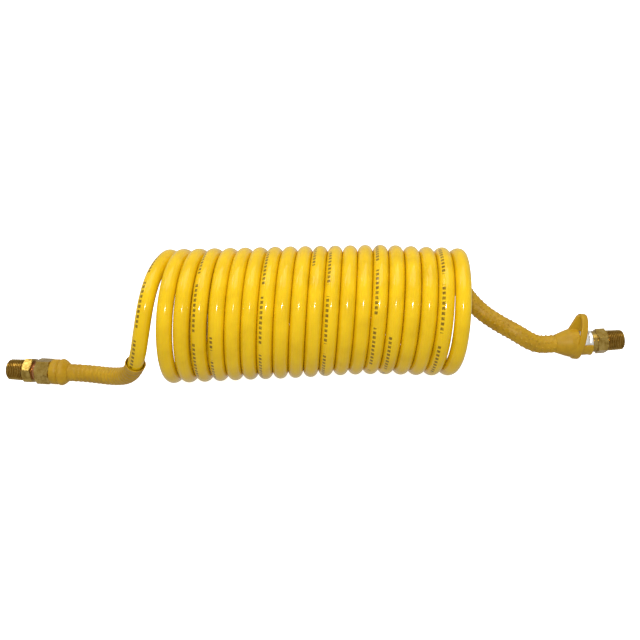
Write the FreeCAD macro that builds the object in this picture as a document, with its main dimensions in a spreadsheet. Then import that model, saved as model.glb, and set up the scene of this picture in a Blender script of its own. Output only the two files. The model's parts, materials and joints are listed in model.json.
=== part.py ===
"""Coiled air hose with a swivel end, a rigid end with a grip, and two guard sleeves.

Millimetres, +Z up. The origin is on the surface that the hose lies on, under the middle
of the coil. The coil's axis runs along X. Both fittings are turned parts: in their own
frames the axis is X, counted inwards from the mouth of the thread.
"""

import FreeCAD, Part

import math
import os

import Sketcher

SIZES = {
    # hose and coil
    "hose_diameter": 12.0,
    "hose_bore": 9.0,
    "coil_mean_radius": 47.0,
    "coil_pitch": 12.2,
    "coil_turns": 19.0,
    "coil_middle_x": -5.15,
    "coil_middle_y": -4.2,
    # guard sleeves
    "sleeve_bore": 12.4,
    "left_sleeve_diameter": 14.4,
    "right_sleeve_diameter": 14.8,
    # tapered thread, 3/8 inch pipe size, 1 in 16 on the diameter
    "thread_length": 13.8,
    "thread_mouth_radius": 8.34,
    "thread_root_radius": 7.7,
    "thread_taper": 0.03125,
    "thread_lead": 1.0,
    "thread_relief": 1.4,
    "mouth_bore_radius": 4.6,
    "mouth_bore_depth": 11.0,
    "air_way_radius": 3.2,
    # hexagons
    "hex_flats": 19.05,
    "stem_hex_length": 7.0,
    "rigid_hex_length": 8.4,
    "hex_core_radius": 8.6,
    "hex_face_radius": 9.3,
    "hex_corner_radius": 11.05,
    "hex_corner_run": 0.95,
    "stem_hex_twist": 11.0,
    "swivel_hex_twist": 27.0,
    "rigid_hex_twist": 2.0,
    # swivel end
    "swivel_gap": 2.8,
    "swivel_hex_length": 11.7,
    "journal_radius": 6.5,
    "journal_length": 12.6,
    "journal_clearance": 0.05,
    "journal_end_gap": 0.4,
    "washer_radius": 7.4,
    "washer_thickness": 2.6,
    "washer_clearance": 0.1,
    "seal_section": 1.46,
    "seal_groove_width": 2.0,
    "seal_groove_radius": 5.0,
    "front_seal_station": 5.0,
    "rear_seal_station": 8.0,
    "clip_station": 11.0,
    "clip_thickness": 1.0,
    "clip_groove_width": 1.2,
    "clip_inner_radius": 5.9,
    "clip_outer_radius": 7.1,
    "clip_groove_inner": 5.7,
    "clip_groove_outer": 7.2,
    "clip_opening": 3.0,
    # barbed tail and what is clamped on it
    "barb_root_radius": 4.1,
    "barb_crest_radius": 4.45,
    "barb_pitch": 3.6,
    "barb_count": 3.0,
    "barb_lead": 2.2,
    "barb_slope": 3.2,
    "seat_gap": 0.1,
    "hose_end_gap": 0.3,
    "ferrule_bore_radius": 6.05,
    "left_ferrule_radius": 7.2,
    "left_ferrule_length": 8.8,
    "left_collar_radius": 11.0,
    "left_collar_bore_radius": 7.25,
    "left_collar_mouth_radius": 6.4,
    "left_collar_length": 13.8,
    "left_collar_edge": 0.9,
    "left_collar_crown": 3.6,
    "left_collar_step": 0.2,
    # rigid end
    "rigid_shoulder_radius": 8.9,
    "rigid_shoulder_length": 3.4,
    "right_ferrule_radius": 9.6,
    "right_ferrule_length": 18.0,
    # grip
    "grip_length": 55.0,
    "grip_hub_radius": 12.0,
    "grip_hub_start": 36.6,
    "grip_hub_end": 44.4,
    "grip_small_radius": 7.9,
    "grip_mouth_radius": 6.7,
    "grip_bore_clearance": 0.05,
    "loop_start": 33.0,
    "loop_height": 39.5,
    "loop_width": 27.0,
    "loop_wall": 2.8,
    "loop_depth": 5.4,
    "loop_rise": 5.25,
    "loop_lean": 11.5,
    "gusset_thickness": 3.2,
    "gusset_foot_run": 0.9,
    "gusset_foot_depth": 2.0,
    "gusset_bite": 4.8,
    "gusset_top_run": 1.5,
    "gusset_top_reach": 6.8,
    "gusset_top_drop": 0.8,
    "saddle_start": 26.3,
    "saddle_thickness": 1.2,
    "saddle_bite": 1.0,
    # where the mouths of the threads lie from the coil's middle, which way the hose runs from
    # them, in degrees about +Z from +X, and how far they are tipped up, in degrees
    "left_mouth_x": -249.4,
    "left_mouth_y": -9.7,
    "left_heading": 0.0,
    "left_tilt": 5.0,
    "right_mouth_x": 260.0,
    "right_mouth_y": 16.2,
    "right_heading": 177.0,
    "right_tilt": 3.0,
}

# Corners of the two uncoiled stretches, counted from the point on the ground under the
# coil's middle, from the coil to the last corner before each end.
LEFT_ROUTE = [
    (-116.5, -23.5, 93.7),
    (-119.8, -42.2, 77.3),
    (-125.0, -48.7, 53.0),
    (-130.5, -46.5, 34.0),
    (-141.5, -33.0, 15.5),
    (-158.5, -18.5, 8.6),
]
RIGHT_ROUTE = [
    (116.5, 23.5, 93.7),
    (122.0, 42.0, 79.5),
    (134.5, 47.0, 60.0),
    (146.0, 42.0, 42.0),
    (159.5, 32.0, 29.5),
    (172.5, 21.5, 20.0),
]
LAST_RUN = 16.0
ARC_SHARE = 0.45

# Edges of each tail that its guard sleeve leaves bare, counted from the coil.
LEFT_BARE_EDGES = 6
RIGHT_BARE_EDGES = 3

# Stations along a fitting, counted inwards from the mouth of its thread.
STEM_HEX_END = "thread_length + stem_hex_length"
SWIVEL_START = f"{STEM_HEX_END} + swivel_gap"
SWIVEL_HEX_END = f"{SWIVEL_START} + swivel_hex_length"
COLLAR_END = f"{SWIVEL_HEX_END} + left_collar_length"
RIGID_HEX_END = "thread_length + rigid_hex_length"
SHOULDER_END = f"{RIGID_HEX_END} + rigid_shoulder_length"

doc = FreeCAD.newDocument("coiled_air_hose")
sheet = doc.addObject("Spreadsheet::Sheet", "sizes")
for row, (alias, size) in enumerate(SIZES.items(), start=1):
    sheet.set(f"A{row}", alias)
    sheet.set(f"B{row}", str(size))
    sheet.setAlias(f"B{row}", alias)
doc.recompute()

nodes = []


def size_of(alias):
    """The value of one cell of the sheet."""
    return float(sheet.get(alias))


def total(expression):
    """The value of a sum of cells."""
    return sum(size_of(word) for word in expression.split() if word != "+")


def cell(expression):
    """An expression in cell names, each one made to point at the sheet."""
    words = expression.split()
    return " ".join(f"sizes.{word}" if word in SIZES else word for word in words)


def bind(thing, **expressions):
    """Tie properties to the sheet. A double underscore stands for a dot."""
    for path, expression in expressions.items():
        thing.setExpression(path.replace("__", "."), cell(expression))


def keep(thing, label, placement=None):
    """Name a finished piece, put it in its place and list it as a node."""
    thing.Label = label
    if placement is not None:
        thing.Placement = placement
    nodes.append(thing)
    return thing


# ---------------------------------------------------------------- frames of the ends


coil_middle = FreeCAD.Vector(size_of("coil_middle_x"), size_of("coil_middle_y"), 0)


def end_placement(side, station, height):
    """Frame of a fitting: X runs inwards from the mouth, and is at a height at a station."""
    tilt = size_of(f"{side}_tilt")
    mouth_height = height + station * math.sin(math.radians(tilt))
    mouth = FreeCAD.Vector(size_of(f"{side}_mouth_x"), size_of(f"{side}_mouth_y"), mouth_height)
    heading = FreeCAD.Rotation(FreeCAD.Vector(0, 0, 1), size_of(f"{side}_heading"))
    tip = FreeCAD.Rotation(FreeCAD.Vector(0, 1, 0), tilt)
    return FreeCAD.Placement(coil_middle + mouth, heading.multiply(tip))


def collar_drop():
    """How far the tipped collar reaches below its axis."""
    return size_of("left_collar_radius") * math.cos(math.radians(size_of("left_tilt")))


def loop_drop():
    """How far the leaning loop of the grip reaches below the axis of its fitting."""
    tilt = math.radians(size_of("right_tilt"))
    lean = math.radians(size_of("loop_lean")) - tilt
    upright = size_of("loop_height") / 2 * math.cos(lean)
    sideways = size_of("loop_depth") / 2 * math.sin(lean)
    return upright + sideways - size_of("loop_rise") * math.cos(tilt)


collar_station = total(COLLAR_END) - size_of("left_collar_crown")
loop_station = size_of("loop_start") + size_of("loop_depth") / 2
left_frame = end_placement("left", collar_station, collar_drop())
right_frame = end_placement("right", loop_station, loop_drop())


# ---------------------------------------------------------------- building blocks


def plane_of(body, role):
    """One of a body's own origin planes."""
    return next(f for f in body.Origin.OriginFeatures if f.Role == role)


def outline(body, name, plane, corners):
    """A closed sketch of straight lines through corners given as (across, up) expressions."""
    sketch = body.newObject("Sketcher::SketchObject", f"{name}_outline")
    sketch.AttachmentSupport = [(plane_of(body, plane), "")]
    sketch.MapMode = "FlatFace"
    count = len(corners)
    start = FreeCAD.Vector(count, count, 0)
    steps = [2 * math.pi * i / count for i in range(count)]
    rough = [start + FreeCAD.Vector(math.cos(step), math.sin(step), 0) for step in steps]
    for i in range(count):
        sketch.addGeometry(Part.LineSegment(rough[i], rough[(i + 1) % count]), False)
    for i in range(count):
        sketch.addConstraint(Sketcher.Constraint("Coincident", i, 2, (i + 1) % count, 1))
    for i, (across, up) in enumerate(corners):
        if across == "0":
            sketch.addConstraint(Sketcher.Constraint("PointOnObject", i, 1, -2))
        else:
            index = sketch.addConstraint(Sketcher.Constraint("DistanceX", -1, 1, i, 1, rough[i].x))
            sketch.setExpression(f"Constraints[{index}]", cell(across))
        index = sketch.addConstraint(Sketcher.Constraint("DistanceY", -1, 1, i, 1, rough[i].y))
        sketch.setExpression(f"Constraints[{index}]", cell(up))
    return sketch


def turned(name, corners):
    """A body turned about X from a closed outline of (station, radius) expressions."""
    body = doc.addObject("PartDesign::Body", name)
    sketch = outline(body, name, "XY_Plane", corners)
    revolution = body.newObject("PartDesign::Revolution", f"{name}_turning")
    revolution.Profile = sketch
    revolution.ReferenceAxis = (sketch, ["H_Axis"])
    revolution.Angle = 360
    body.Tip = revolution
    return body


def ring(name, start, length, inner, outer):
    """A plain ring about X."""
    end = f"{start} + {length}"
    return turned(name, [(start, inner), (start, outer), (end, outer), (end, inner)])


def hexagon(name, start, length, inner, twist):
    """A bored hexagon bar along X with its corners turned down at both ends."""
    bar = doc.addObject("Part::Prism", f"{name}_bar")
    bar.Polygon = 6
    along_x = FreeCAD.Rotation(FreeCAD.Vector(0, 1, 0), 90)
    spin = FreeCAD.Rotation(FreeCAD.Vector(1, 0, 0), size_of(twist))
    bar.Placement = FreeCAD.Placement(FreeCAD.Vector(0, 0, 0), spin.multiply(along_x))
    bind(bar, Circumradius="hex_flats / 2 / cos(30)", Height=length, Placement__Base__x=start)
    end = f"{start} + {length}"
    envelope = turned(
        f"{name}_envelope",
        [
            (start, inner),
            (start, "hex_face_radius"),
            (f"{start} + hex_corner_run", "hex_corner_radius"),
            (f"{end} - hex_corner_run", "hex_corner_radius"),
            (end, "hex_face_radius"),
            (end, inner),
        ],
    )
    shaped = doc.addObject("Part::Common", name)
    shaped.Base = bar
    shaped.Tool = envelope
    return shaped


def join(name, first, *others):
    """Fuse shapes into one piece."""
    fused = doc.addObject("Part::MultiFuse", name)
    fused.Shapes = [first, *others]
    return fused


def cut(name, base, tool):
    """Take one shape out of another."""
    result = doc.addObject("Part::Cut", name)
    result.Base = base
    result.Tool = tool
    return result


# ---------------------------------------------------------------- routes of the hose


def route_to_end(corners, frame, mouth_station):
    """All corners of an uncoiled stretch: the listed ones, then two on the fitting's axis."""
    before = frame.multVec(FreeCAD.Vector(mouth_station + LAST_RUN, 0, 0))
    mouth = frame.multVec(FreeCAD.Vector(mouth_station, 0, 0))
    return [coil_middle + FreeCAD.Vector(*corner) for corner in corners] + [before, mouth]


def path_edges(corners, label):
    """Straight runs joined by tangent arcs, each as large as its two runs allow."""
    edges = []
    at = corners[0]
    for before, corner, after in zip(corners, corners[1:], corners[2:]):
        run_in = corner - before
        run_out = after - corner
        turn = run_in.getAngle(run_out)
        reach = ARC_SHARE * min(run_in.Length, run_out.Length)
        enter = corner - FreeCAD.Vector(run_in).normalize() * reach
        leave = corner + FreeCAD.Vector(run_out).normalize() * reach
        radius = reach / math.tan(turn / 2)
        inward = (enter + leave) * 0.5 - corner
        to_centre = math.hypot(radius, reach)
        middle = corner + inward.normalize() * (to_centre - radius)
        edges.append(Part.LineSegment(at, enter).toShape())
        edges.append(Part.Arc(enter, middle, leave).toShape())
        at = leave
        print(f"{label}: run {run_in.Length:.1f}, radius {radius:.1f}")
    edges.append(Part.LineSegment(at, corners[-1]).toShape())
    return edges


def tube_along(edges, bore, diameter):
    """A round tube swept along edges that join tangentially."""
    start = edges[0].firstVertex().Point
    along = edges[0].tangentAt(edges[0].FirstParameter)
    outer = Part.Wire([Part.Circle(start, along, diameter / 2).toShape()])
    inner = Part.Wire([Part.Circle(start, along, bore / 2).toShape()])
    spine = Part.Wire(edges)
    solid = spine.makePipeShell([outer], True, True)
    core = spine.makePipeShell([inner], True, True)
    tube = solid.cut(core)
    expected = math.pi / 4 * (diameter**2 - bore**2) * spine.Length
    print(f"  length {spine.Length:.1f}, volume ratio {tube.Volume / expected:.4f}")
    return tube


def swept(label, edges, bore_alias, diameter_alias):
    """A node swept along the hose's own path."""
    piece = doc.addObject("Part::Feature", label)
    piece.Shape = tube_along(edges, size_of(bore_alias), size_of(diameter_alias))
    return keep(piece, label)


# ---------------------------------------------------------------- hose


def hose_coil():
    """The coil's outer shape: a thick tube around its axis."""
    outer = doc.addObject("Part::Cylinder", "coil_outside")
    inner = doc.addObject("Part::Cylinder", "coil_inside")
    along_x = FreeCAD.Rotation(FreeCAD.Vector(0, 1, 0), 90)
    coil_length = "( coil_turns * coil_pitch + hose_diameter )"
    for cylinder, sign in ((outer, "+"), (inner, "-")):
        cylinder.Placement = FreeCAD.Placement(FreeCAD.Vector(0, 0, 0), along_x)
        bind(
            cylinder,
            Radius=f"coil_mean_radius {sign} hose_diameter / 2",
            Height=coil_length,
            Placement__Base__x=f"coil_middle_x - {coil_length} / 2",
            Placement__Base__y="coil_middle_y",
            Placement__Base__z="coil_mean_radius + hose_diameter / 2",
        )
    return keep(cut("coil_tube", outer, inner), "hose_coil")


def hose_end(label, seat, end, frame):
    """The straight end of the hose, clamped on the barbed tail."""
    start = f"{seat} + hose_end_gap"
    inner = "hose_bore / 2"
    outer = "hose_diameter / 2"
    piece = turned(f"{label}_tube", [(start, inner), (start, outer), (end, outer), (end, inner)])
    return keep(piece, label, frame)


# ---------------------------------------------------------------- fittings


def thread_outline():
    """Outside of the tapered thread, at its crests, from the mouth to the hexagon."""
    full = "thread_length - thread_relief"
    return [
        ("0", "mouth_bore_radius"),
        ("0", "thread_root_radius"),
        ("thread_lead", "thread_mouth_radius + thread_lead * thread_taper"),
        (full, f"thread_mouth_radius + ( {full} ) * thread_taper"),
        (f"{full} + thread_relief / 3", "thread_root_radius"),
        ("thread_length", "thread_root_radius"),
    ]


def bore_outline(end):
    """Inside of a fitting, back from its inner end to the mouth."""
    return [
        (end, "air_way_radius"),
        ("mouth_bore_depth + mouth_bore_radius - air_way_radius", "air_way_radius"),
        ("mouth_bore_depth", "mouth_bore_radius"),
    ]


def barbs(start):
    """Teeth of a barbed tail: each rises slowly and drops square, facing the pull."""
    corners = [(start, "barb_root_radius")]
    for i in range(int(size_of("barb_count"))):
        face = f"{start} + barb_lead + barb_pitch * {i}"
        toe = f"{face} + barb_slope"
        corners += [(face, "barb_root_radius"), (face, "barb_crest_radius"), (toe, "barb_root_radius")]
    return corners


def swivel_stem():
    """Male thread, hexagon and the journal that turns in the swivel body."""
    journal_end = f"{STEM_HEX_END} + journal_length"
    corners = thread_outline()
    corners += [("thread_length", "hex_core_radius"), (STEM_HEX_END, "hex_core_radius")]
    corners += [(STEM_HEX_END, "journal_radius")]
    for station, width, floor in (
        ("front_seal_station", "seal_groove_width", "seal_groove_radius"),
        ("rear_seal_station", "seal_groove_width", "seal_groove_radius"),
        ("clip_station", "clip_groove_width", "clip_groove_inner"),
    ):
        near = f"{STEM_HEX_END} + {station} - {width} / 2"
        far = f"{STEM_HEX_END} + {station} + {width} / 2"
        corners += [(near, "journal_radius"), (near, floor), (far, floor), (far, "journal_radius")]
    corners += [(journal_end, "journal_radius")]
    corners += bore_outline(journal_end)
    turning = turned("stem_turning", corners)
    inner = "air_way_radius"
    bar = hexagon("stem_hexagon", "thread_length", "stem_hex_length", inner, "stem_hex_twist")
    return keep(join("stem", turning, bar), "swivel_stem", left_frame)


def swivel_body():
    """Hexagon with the journal's bore and the barbed tail for the hose."""
    bore_end = f"{STEM_HEX_END} + journal_length + journal_end_gap"
    bore = "journal_radius + journal_clearance"
    clip_near = f"{STEM_HEX_END} + clip_station - clip_groove_width / 2"
    clip_far = f"{STEM_HEX_END} + clip_station + clip_groove_width / 2"
    corners = [(SWIVEL_START, bore), (SWIVEL_START, "hex_core_radius")]
    corners += [(SWIVEL_HEX_END, "hex_core_radius")]
    corners += barbs(SWIVEL_HEX_END)
    corners += [(COLLAR_END, "barb_root_radius"), (COLLAR_END, "air_way_radius")]
    corners += [(bore_end, "air_way_radius"), (bore_end, bore)]
    corners += [(clip_far, bore), (clip_far, "clip_groove_outer")]
    corners += [(clip_near, "clip_groove_outer"), (clip_near, bore)]
    turning = turned("swivel_turning", corners)
    inner = "( journal_radius + hex_core_radius ) / 2"
    bar = hexagon("swivel_hexagon", SWIVEL_START, "swivel_hex_length", inner, "swivel_hex_twist")
    return keep(join("swivel", turning, bar), "swivel_body", left_frame)


def swivel_washer():
    """Bearing washer that shows in the gap between the two hexagons."""
    start = f"{STEM_HEX_END} + washer_clearance"
    inner = "journal_radius + washer_clearance"
    piece = ring("washer", start, "washer_thickness", inner, "washer_radius")
    return keep(piece, "swivel_washer", left_frame)


def swivel_seal(label, station):
    """An O-ring in one of the journal's grooves."""
    seal = doc.addObject("Part::Torus", f"{label}_torus")
    bind(
        seal,
        Radius1="( journal_radius + seal_groove_radius ) / 2",
        Radius2="seal_section / 2",
    )
    across = FreeCAD.Rotation(FreeCAD.Vector(0, 1, 0), 90)
    local = FreeCAD.Placement(FreeCAD.Vector(total(f"{STEM_HEX_END} + {station}"), 0, 0), across)
    return keep(seal, label, left_frame.multiply(local))


def swivel_clip():
    """Split ring that keeps the journal in the swivel body."""
    start = f"{STEM_HEX_END} + clip_station - clip_thickness / 2"
    whole = ring("clip_ring", start, "clip_thickness", "clip_inner_radius", "clip_outer_radius")
    opening = doc.addObject("Part::Box", "clip_slot")
    bind(
        opening,
        Length="clip_thickness * 3",
        Width="clip_opening",
        Height="clip_outer_radius * 2",
        Placement__Base__x=f"{start} - clip_thickness",
        Placement__Base__y="0 - clip_opening / 2",
    )
    return keep(cut("clip", whole, opening), "swivel_clip", left_frame)


def left_ferrule():
    """Crimped sleeve that squeezes the hose onto the swivel body's barbs."""
    start = f"{SWIVEL_HEX_END} + seat_gap"
    inner = "ferrule_bore_radius"
    piece = ring("left_crimp", start, "left_ferrule_length", inner, "left_ferrule_radius")
    return keep(piece, "left_ferrule", left_frame)


def left_collar():
    """Moulded collar over the crimp, rounded down to the guard sleeve."""
    start = f"{SWIVEL_HEX_END} + seat_gap"
    crimp_end = f"{start} + left_ferrule_length + left_collar_step"
    outer = "left_collar_radius"
    corners = [
        (start, "left_collar_bore_radius"),
        (start, f"{outer} - left_collar_edge"),
        (f"{start} + left_collar_edge", outer),
        (f"{COLLAR_END} - left_collar_crown", outer),
        (f"{COLLAR_END} - left_collar_crown * 0.4", f"{outer} - left_collar_crown * 0.25"),
        (f"{COLLAR_END} - left_collar_crown * 0.1", f"{outer} - left_collar_crown * 0.6"),
        (COLLAR_END, f"{outer} - left_collar_crown"),
        (COLLAR_END, "left_collar_mouth_radius"),
        (crimp_end, "left_collar_mouth_radius"),
        (crimp_end, "left_collar_bore_radius"),
    ]
    return keep(turned("collar", corners), "left_guard_collar", left_frame)


def rigid_adapter():
    """Male thread, hexagon, shoulder and barbed tail in one piece."""
    corners = thread_outline()
    corners += [("thread_length", "hex_core_radius"), (RIGID_HEX_END, "hex_core_radius")]
    corners += [(RIGID_HEX_END, "rigid_shoulder_radius"), (SHOULDER_END, "rigid_shoulder_radius")]
    corners += barbs(SHOULDER_END)
    corners += [("grip_hub_end", "barb_root_radius")]
    corners += bore_outline("grip_hub_end")
    turning = turned("rigid_turning", corners)
    inner = "air_way_radius"
    bar = hexagon("rigid_hexagon", "thread_length", "rigid_hex_length", inner, "rigid_hex_twist")
    return keep(join("rigid", turning, bar), "rigid_adapter", right_frame)


def right_ferrule():
    """Bright crimped sleeve that shows between the grip and the shoulder."""
    start = f"{SHOULDER_END} + seat_gap"
    inner = "ferrule_bore_radius"
    piece = ring("right_crimp", start, "right_ferrule_length", inner, "right_ferrule_radius")
    return keep(piece, "right_ferrule", right_frame)


# ---------------------------------------------------------------- grip


def grip_sleeve():
    """Hub around the crimp and the cone that runs down to the guard sleeve."""
    return turned(
        "grip_turning",
        [
            ("grip_hub_start", "grip_small_radius"),
            ("grip_hub_start", "grip_hub_radius"),
            ("grip_hub_end", "grip_hub_radius"),
            ("grip_length", "grip_small_radius"),
            ("grip_length", "grip_mouth_radius"),
            ("grip_hub_end", "grip_mouth_radius"),
        ],
    )


def oval_plate(name, shrink, depth):
    """An oval plate across the axis, leaning, with its outline drawn in by shrink."""
    body = doc.addObject("PartDesign::Body", name)
    sketch = body.newObject("Sketcher::SketchObject", f"{name}_outline")
    sketch.AttachmentSupport = [(plane_of(body, "YZ_Plane"), "")]
    sketch.MapMode = "FlatFace"
    half_height = size_of("loop_height") / 2 - shrink
    half_width = size_of("loop_width") / 2 - shrink
    centre = FreeCAD.Vector(0, 0, 0)
    top = FreeCAD.Vector(0, half_height, 0)
    side = FreeCAD.Vector(half_width, 0, 0)
    sketch.addGeometry(Part.Ellipse(top, side, centre), False)
    pad = body.newObject("PartDesign::Pad", f"{name}_plate")
    pad.Profile = sketch
    pad.Midplane = True
    pad.setExpression("Length", cell(depth))
    body.Tip = pad
    lean = FreeCAD.Rotation(FreeCAD.Vector(0, 1, 0), -size_of("loop_lean"))
    body.Placement = FreeCAD.Placement(FreeCAD.Vector(loop_station, 0, size_of("loop_rise")), lean)
    return body


def grip_gusset():
    """Web inside the loop and out to the cone, which splits the loop's eye in two."""
    body = doc.addObject("PartDesign::Body", "gusset")
    loop_face = "loop_start + loop_depth"
    loop_top = "loop_rise + loop_height / 2"
    foot = "grip_hub_radius - gusset_foot_depth"
    corners = [
        (f"{loop_face} - gusset_bite", foot),
        ("grip_hub_end + gusset_foot_run", foot),
        (f"{loop_face} - gusset_top_run", f"{loop_top} - gusset_top_drop"),
        (f"{loop_face} - gusset_top_reach", f"{loop_top} - gusset_top_drop * 2"),
    ]
    sketch = outline(body, "gusset", "XZ_Plane", corners)
    pad = body.newObject("PartDesign::Pad", "gusset_web")
    pad.Profile = sketch
    pad.Midplane = True
    pad.setExpression("Length", cell("gusset_thickness"))
    body.Tip = pad
    return body


def grip_saddle():
    """Half sleeve under the bright crimp, on the thread's side of the loop."""
    inner = "right_ferrule_radius + grip_bore_clearance"
    outer = f"{inner} + saddle_thickness"
    length = "( grip_hub_start + saddle_bite - saddle_start )"
    whole = ring("saddle_ring", "saddle_start", length, inner, outer)
    lower = doc.addObject("Part::Box", "saddle_half")
    reach = "right_ferrule_radius * 2"
    bind(
        lower,
        Length="grip_hub_start",
        Width=f"{reach} * 2",
        Height=reach,
        Placement__Base__x="saddle_start - saddle_bite",
        Placement__Base__y=f"0 - {reach}",
        Placement__Base__z=f"0 - {reach}",
    )
    half = doc.addObject("Part::Common", "saddle")
    half.Base = whole
    half.Tool = lower
    return half


def grip_handle():
    """Moulded grip: hub and cone, a leaning oval loop, its gusset and the saddle."""
    outside = oval_plate("loop_outside", 0, "loop_depth")
    inside = oval_plate("loop_inside", size_of("loop_wall"), "loop_depth * 2")
    loop = cut("loop", outside, inside)
    solid = join("grip_solid", grip_sleeve(), loop, grip_gusset(), grip_saddle())
    bore = ring(
        "grip_bore",
        "( loop_start - loop_depth )",
        "( grip_hub_end + loop_depth - loop_start )",
        "air_way_radius",
        "right_ferrule_radius + grip_bore_clearance",
    )
    return keep(cut("grip", solid, bore), "grip_handle", right_frame)


# ---------------------------------------------------------------- assembly

hose_coil()

left_corners = route_to_end(LEFT_ROUTE, left_frame, total(COLLAR_END))
right_corners = route_to_end(RIGHT_ROUTE, right_frame, size_of("grip_length"))
left_path = path_edges(left_corners, "left tail")
right_path = path_edges(right_corners, "right tail")
swept("left_hose_tail", left_path, "hose_bore", "hose_diameter")
swept("right_hose_tail", right_path, "hose_bore", "hose_diameter")
swept("left_guard_sleeve", left_path[LEFT_BARE_EDGES:], "sleeve_bore", "left_sleeve_diameter")
swept("right_guard_sleeve", right_path[RIGHT_BARE_EDGES:], "sleeve_bore", "right_sleeve_diameter")
hose_end("left_hose_end", SWIVEL_HEX_END, COLLAR_END, left_frame)
hose_end("right_hose_end", SHOULDER_END, "grip_length", right_frame)

swivel_stem()
swivel_body()
swivel_washer()
swivel_seal("front_seal", "front_seal_station")
swivel_seal("rear_seal", "rear_seal_station")
swivel_clip()
left_ferrule()
left_collar()
rigid_adapter()
right_ferrule()
grip_handle()

doc.recompute()

for thing in doc.Objects:
    if "Invalid" in thing.State or "Error" in thing.State:
        raise RuntimeError(f"{thing.Name} did not compute: {thing.State}")

os.makedirs("parts", exist_ok=True)
for node in nodes:
    if node.Shape.isNull() or not node.Shape.isValid():
        raise RuntimeError(f"{node.Label} has no valid shape")
    node.Shape.exportStep(f"parts/{node.Label}.step")
    box = node.Shape.BoundBox
    spans = ((box.XMin, box.XMax), (box.YMin, box.YMax), (box.ZMin, box.ZMax))
    limits = ", ".join(f"{low:.1f} to {high:.1f}" for low, high in spans)
    print(f"{node.Label}: {len(node.Shape.Solids)} solid, {node.Shape.Volume:.0f} mm3, {limits}")
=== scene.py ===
import json
import math

import bmesh
import bpy
from mathutils import Matrix, Vector


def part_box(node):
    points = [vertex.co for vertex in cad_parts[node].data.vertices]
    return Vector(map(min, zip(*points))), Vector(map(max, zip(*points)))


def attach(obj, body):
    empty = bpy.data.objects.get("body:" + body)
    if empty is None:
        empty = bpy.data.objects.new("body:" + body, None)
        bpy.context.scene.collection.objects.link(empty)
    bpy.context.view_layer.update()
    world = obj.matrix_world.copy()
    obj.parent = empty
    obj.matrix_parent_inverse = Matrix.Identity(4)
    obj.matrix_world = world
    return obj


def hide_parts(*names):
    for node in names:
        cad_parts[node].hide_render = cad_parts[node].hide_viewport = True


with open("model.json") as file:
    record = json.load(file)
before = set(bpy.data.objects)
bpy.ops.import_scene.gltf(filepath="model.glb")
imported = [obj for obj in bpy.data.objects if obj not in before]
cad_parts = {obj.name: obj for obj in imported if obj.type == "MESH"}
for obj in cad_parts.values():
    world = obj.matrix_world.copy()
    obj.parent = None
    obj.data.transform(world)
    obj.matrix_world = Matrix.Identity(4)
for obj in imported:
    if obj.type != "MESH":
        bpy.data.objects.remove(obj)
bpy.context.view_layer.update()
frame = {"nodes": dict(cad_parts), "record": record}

# A coiled air hose on a pale floor. Everything is in metres, in the CAD model's own frame.
# Each fitting has a frame of its own, whose X runs inwards from the mouth of its thread, and
# lengths along that X are called stations.

# ---------------------------------------------------------------- driving sizes

HOSE_RADIUS = 0.006
HOSE_BORE = 0.0045
COIL_TURNS = 19
COIL_LEAN = 0.0565
PITCH_SHARE = 0.988
POINTS_PER_TURN = 16
SPLINE_INSET = 0.9808
HOSE_SIDES = 28
HOSE_STEP = 0.0038

# How the turns stray from an even coil: (turn, spread in turns, shift along X). Whole
# turns are at the bottom, and a quarter more is the side that faces -Y.
LOOSE_SPOTS = (
    (1.25, 0.28, -0.0019),
    (2.25, 0.28, -0.0014),
    (3.25, 0.28, -0.0007),
    (19.13, 0.13, 0.0012),
)

# How the coil bends and narrows: (turn, shift along Y, change of radius).
BEND_SPOTS = (
    (0.5, -0.0040, 0.0011),
    (7.5, -0.0010, 0.0005),
    (13.5, 0.0036, -0.0003),
    (19.5, -0.0050, -0.0018),
)

# Corners of the two uncoiled stretches, from the point on the floor under the coil's
# middle, each from the coil to the last corner before its fitting.
LEFT_ROUTE = (
    (-0.1165, -0.0275, 0.0948),
    (-0.1197, -0.0460, 0.0780),
    (-0.1248, -0.0510, 0.0533),
    (-0.1305, -0.0470, 0.0340),
    (-0.1415, -0.0330, 0.0155),
    (-0.1585, -0.0185, 0.0086),
)
RIGHT_ROUTE = (
    (0.1160, 0.0135, 0.0905),
    (0.1200, 0.0345, 0.0765),
    (0.1318, 0.0450, 0.0553),
    (0.1455, 0.0420, 0.0392),
    (0.1595, 0.0320, 0.0300),
    (0.1725, 0.0215, 0.0240),
)
LAST_RUN = 0.016

# Thread, hexagons and air way, which both fittings share.
THREAD_LENGTH = 0.0138
THREAD_PITCH = 0.00141
THREAD_DEPTH = 0.00095
THREAD_TAPER = 1 / 32
CREST_RADIUS = 0.00834
LEAD_RADIUS = 0.0073
RELIEF_LENGTH = 0.0009
RELIEF_RADIUS = 0.0077
MOUTH_BORE = 0.0046
MOUTH_DEPTH = 0.011
AIR_WAY = 0.0032
HEX_FLATS = 0.01905
HEX_FACE = 0.0093
HEX_CORNER = 0.01093
HEX_CHAMFER = 0.00095
JOURNAL_RADIUS = 0.0065
BARB_ROOT = 0.0041
BARB_CREST = 0.00445
BARB_PITCH = 0.0036
BARB_SLOPE = 0.0032
BARB_LEAD = 0.0022
CHAMFER = 0.0004
SEGMENTS = 96

# Left end.
STEM_HEX_END = 0.0208
JOURNAL_END = 0.0334
SWIVEL_START = 0.0236
SWIVEL_END = 0.0353
COLLAR_START = 0.0354
COLLAR_END = 0.0491
STEM_TURN = math.radians(41)
SWIVEL_TURN = math.radians(57)

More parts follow.
